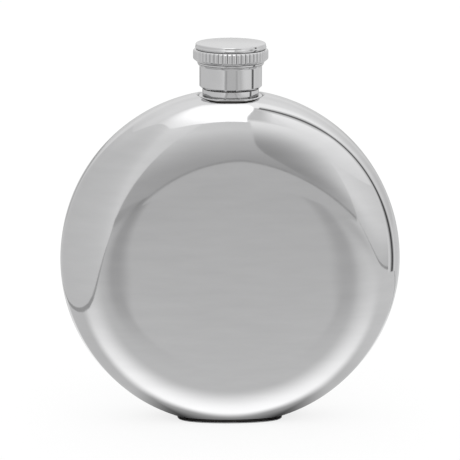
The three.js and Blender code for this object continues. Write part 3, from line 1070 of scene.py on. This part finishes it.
def right_sheet(across, up):
    """The right sheet's dark front edge, fading into the tent."""
    elevation = between(SHEET_FOOT, GAP_TOP, up)
    azimuth = gap_right(elevation) + SHEET_WIDTH * across
    light = SHEET_LEVEL + SHEET_RISE * soft_step(elevation, 10, 35)
    dark = (1 - ease(across)) * (1 - soft_step(elevation, 8, 32))
    dark *= between(SHEET_LEAST, 1, soft_step(elevation, -4, 4))
    return toward(azimuth, elevation, SHEET_DISTANCE), light - SHEET_DARK * dark


# Left sheet, with a painted shadow line along its foot
FOOT_LINE_HEIGHT = 4 * MM
FOOT_LINE_GAP = 1 * MM  # from a sheet to the line in front of it
LEFT_SPAN = (-0.12, 1.0)  # its ends, as distances in front of the flask
LEFT_NEAR = -0.098  # where it stands beside the flask
LEFT_BEND = 0.07  # the distance from which it bends away
LEFT_SPLAY = 0.295
LEFT_SOFTNESS = 0.04
LEFT_BACK = 0.014  # how far it bends away behind that
LEFT_BACK_REACH = 0.093
LEFT_HEIGHT = 0.18
LEFT_GROWTH = 0.53  # by how much it is higher further in front
LEFT_LEAN = 0.35
LEFT_SHIFT = 0.03
LEFT_LEVELS = (0.7, 0.9)  # at its back and front
LEFT_LIGHT = 1.8  # how fast it gets lighter towards its front
LEFT_TOP = 0.1  # added at its top


def left_sheet(across, up):
    """The near sheet on the left. Its front edge leans to the middle."""
    away = between(*LEFT_SPAN, across)
    height = up * (LEFT_HEIGHT + LEFT_GROWTH * max(0.0, away))
    back = LEFT_BACK * ease((LEFT_BEND - away) / LEFT_BACK_REACH)
    x = LEFT_NEAR - back - bend_away(away - LEFT_BEND, LEFT_SPLAY, LEFT_SOFTNESS)
    x += soft_step(across, 0.4, 1) * (LEFT_LEAN * height - LEFT_SHIFT)
    level = between(*LEFT_LEVELS, ease(across * LEFT_LIGHT))
    return (x, -away, height), level + LEFT_TOP * soft_step(up, 0.6, 1)


# A dark strip at the sheet's foot: a painted shadow line
def left_foot_shadow(across, up):
    point, _ = left_sheet(across, 0)
    return (point[0] + FOOT_LINE_GAP, point[1], FOOT_LINE_HEIGHT * up), LINE_LEVEL


# Right panel, with a line along its foot and another that runs back from it
PANEL_SPAN = (0.034, 1.6)  # its ends, as distances in front of the flask
PANEL_NEAR = 0.21  # where it stands beside the flask
PANEL_BEND = 0.13  # the distance from which it bends away, both ways
PANEL_SPLAY = 0.51
PANEL_SOFTNESS = 0.06
PANEL_BACK = 2.0
PANEL_HEIGHT = 0.06
PANEL_GROWTH = 0.3  # by how much it is higher further away
PANEL_LEVELS = (0.84, 0.97)  # at its near and far ends
PANEL_LIGHT = 2  # how fast it gets lighter with distance
PANEL_SHADE = 0.2  # taken off at its foot
RIGHT_FOOT_SPAN = (0.034, 1.2)
RIGHT_FOOT_LEVELS = (0.3, 0.5)
BACK_LINE_SPAN = (0.26, 0.09)  # its ends, from right to left
BACK_LINE_TURN = (0.26, 0.13)
BACK_LINE_NEAR = 0.003
BACK_LINE_SWING = 0.055  # how far it swings to the back
BACK_LINE_WIDTH = 8 * MM
BACK_LINE_LIFT = 1 * MM


def right_line(away):
    """Where the right panel stands on the floor, for a distance in front of the flask."""
    behind = max(0.0, PANEL_BEND - away)
    beyond = bend_away(away - PANEL_BEND, PANEL_SPLAY, PANEL_SOFTNESS)
    return PANEL_NEAR + PANEL_BACK * behind * behind + beyond


def right_panel(across, up):
    """The panel that stands on the floor at the right, darker at its foot."""
    away = between(*PANEL_SPAN, across * across)
    x = right_line(away)
    height = up * (PANEL_HEIGHT + PANEL_GROWTH * math.hypot(x, away))
    level = between(*PANEL_LEVELS, ease(across * PANEL_LIGHT))
    return (x, -away, height), level - PANEL_SHADE * (1 - soft_step(up, 0, 0.5))


def right_foot(across, up):
    away = between(*RIGHT_FOOT_SPAN, across * across)
    level = between(*RIGHT_FOOT_LEVELS, ease(across * PANEL_LIGHT))
    return (right_line(away) - FOOT_LINE_GAP, -away, FOOT_LINE_HEIGHT * up), level


def back_line(across, up):
    """A dark line on the floor that runs back from the right panel."""
    x = between(*BACK_LINE_SPAN, across)
    y = BACK_LINE_NEAR + BACK_LINE_SWING * soft_step(x, *BACK_LINE_TURN)
    return (x, y + BACK_LINE_WIDTH * up, BACK_LINE_LIFT), LINE_LEVEL


# Dark seam
FOLD_DISTANCE = 0.2
FOLD_SPAN = (-19.5, 63.5)
FOLD_AZIMUTH = 85.5
FOLD_BEND = 5  # elevation from which it bends forward
FOLD_SWING = 17  # how far it has bent, at a rise further up
FOLD_RISE = 44
FOLD_CURVE = 4
FOLD_HALVES = (13, 9)  # half of its width, at its foot and higher up
FOLD_TILT = 5
FOLD_LEVEL = 0.88  # at its sides
FOLD_DARKEST = (0.04, 0.1)  # in its middle, at its foot and higher up
FOLD_NARROW = 1.4  # how much narrower the dark is than the whole


def seam_line(across, up):
    """The dark seam at the back of the right sheet, soft at both sides."""
    elevation = between(*FOLD_SPAN, up)
    beside = 2 * across - 1
    half = between(*FOLD_HALVES, soft_step(elevation, -5, 15))
    share = max(0.0, elevation - FOLD_BEND) / FOLD_RISE
    azimuth = FOLD_AZIMUTH - FOLD_SWING * share ** FOLD_CURVE + half * beside
    elevation += FOLD_TILT * beside * soft_step(elevation, 35, 50)
    dark = 1 - ease(abs(beside) * FOLD_NARROW)
    darkest = between(*FOLD_DARKEST, soft_step(elevation, 0, 50))
    return toward(azimuth, elevation, FOLD_DISTANCE), between(FOLD_LEVEL, darkest, dark)


# Soft light over the front, with a shaded strip at its right
LIGHT_DISTANCE = 1.4
LIGHT_FOOT = 32
LIGHT_TOP = 78
LIGHT_LEFT = -30
LIGHT_LEAN = 1.1  # of its left side, in degrees of azimuth for each degree up
LIGHT_RIGHT = 8
LIGHT_SWING = 14  # how far its right side has bent away, at a rise further up
LIGHT_RISE = 28
LIGHT_CURVE = 1.8
LIGHT_LEVEL = 1.75
LIGHT_GLOW = 38  # degrees over which it reaches its level, from the left
LIGHT_LESS = 0.6  # share by which it is less at its top
STRIP_DISTANCE = 1.5
STRIP_SPAN = (36, 64)
STRIP_WIDTH = 14
STRIP_LEVELS = (0.78, 1.1)


def light_right(elevation):
    share = max(0.0, elevation - LIGHT_FOOT) / LIGHT_RISE
    return LIGHT_RIGHT + LIGHT_SWING * share ** LIGHT_CURVE


def light_edge(across, up):
    """A shaded strip at the right side of the soft light."""
    elevation = between(*STRIP_SPAN, up)
    azimuth = light_right(elevation) + STRIP_WIDTH * across
    level = between(*STRIP_LEVELS, soft_step(across, 1 / 3, 1))
    return toward(azimuth, elevation, STRIP_DISTANCE), level


def soft_light(across, up):
    elevation = between(LIGHT_FOOT, LIGHT_TOP, up)
    left = LIGHT_LEFT - LIGHT_LEAN * (elevation - LIGHT_FOOT)
    azimuth = between(left, light_right(elevation), across)
    glow = ease((azimuth - left) / LIGHT_GLOW) * (1 - LIGHT_LESS * soft_step(elevation, 60, 85))
    return toward(azimuth, elevation, LIGHT_DISTANCE), between(1, LIGHT_LEVEL, glow)


def studio():
    """White cloth and sheets, a soft light over the front, and a gap where the camera looks in."""
    material = card_material()
    sheets = (tent, front_gap, right_sheet, right_panel, left_sheet, soft_light, light_edge)
    lines = (left_foot_shadow, right_foot, back_line, front_lip, lip_line, seam_line)
    for place in sheets + lines:
        card(place.__name__, material, place)


def world():
    made = bpy.data.worlds.new("studio_world")
    made.use_nodes = True
    backdrop = made.node_tree.nodes["Background"]
    feed(made.node_tree, backdrop, {"Color": (1, 1, 1, 1), "Strength": 1.0})
    bpy.context.scene.world = made


# Camera
def camera():
    data = bpy.data.cameras.new("camera")
    data.lens = FOCAL_PIXELS * data.sensor_width / IMAGE_PIXELS
    piece = bpy.data.objects.new("camera", data)
    bpy.context.scene.collection.objects.link(piece)
    level = math.cos(CAMERA_ELEVATION)
    back = Vector((
        math.sin(CAMERA_AZIMUTH) * level,
        -math.cos(CAMERA_AZIMUTH) * level,
        math.sin(CAMERA_ELEVATION),
    ))
    right = Vector((0, 0, 1)).cross(back).normalized()
    up = back.cross(right)
    pixel = CAMERA_DISTANCE / FOCAL_PIXELS
    aim = BODY_CENTRE + up * (BODY_PIXEL[1] - IMAGE_PIXELS / 2) * pixel
    aim -= right * (BODY_PIXEL[0] - IMAGE_PIXELS / 2) * pixel
    piece.location = BODY_CENTRE + back * CAMERA_DISTANCE
    look = (aim - piece.location).to_track_quat("-Z", "Y").to_matrix().to_4x4()
    rolled = look @ Matrix.Rotation(CAMERA_ROLL, 4, "Z")
    piece.rotation_euler = rolled.to_euler()
    bpy.context.scene.camera = piece


build_flask()
floor()
studio()
world()
camera()
bpy.context.scene.view_settings.view_transform = "Standard"
